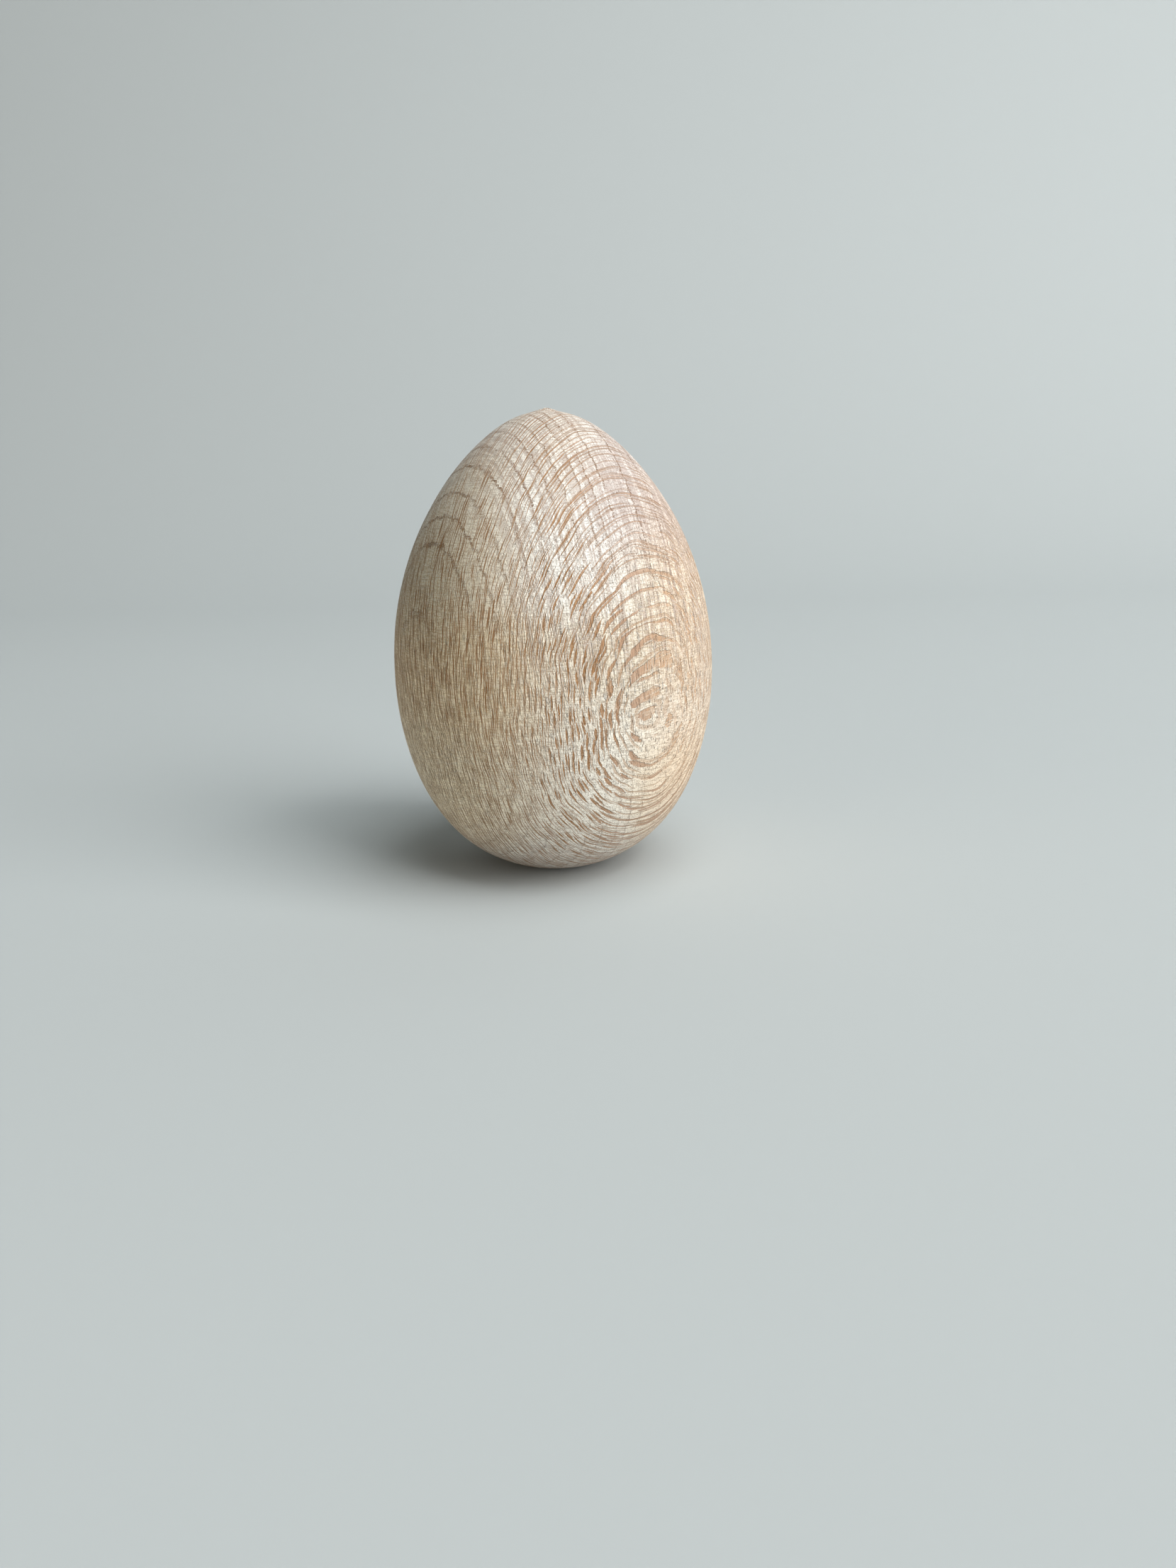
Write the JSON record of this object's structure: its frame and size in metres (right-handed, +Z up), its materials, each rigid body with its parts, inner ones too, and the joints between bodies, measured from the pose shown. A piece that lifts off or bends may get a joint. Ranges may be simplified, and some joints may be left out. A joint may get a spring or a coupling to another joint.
{
  "type": "wooden egg",
  "caption": "Solid wooden egg, turned and sanded but unfinished, with a small flat on its blunt end so that it stands upright.",
  "frame": {"origin": "middle of the flat that the egg stands on", "axes": "+Z up along the turned axis to the pointed tip; -Y towards the side shown in the picture"},
  "size_m": [0.045, 0.045, 0.0637],
  "materials": {
    "beech": "raw steamed beech, sanded fine and left matt, with dark ray flecks"
  },
  "bodies": {
    "root": {"egg": "beech"}
  },
  "joints": []
}
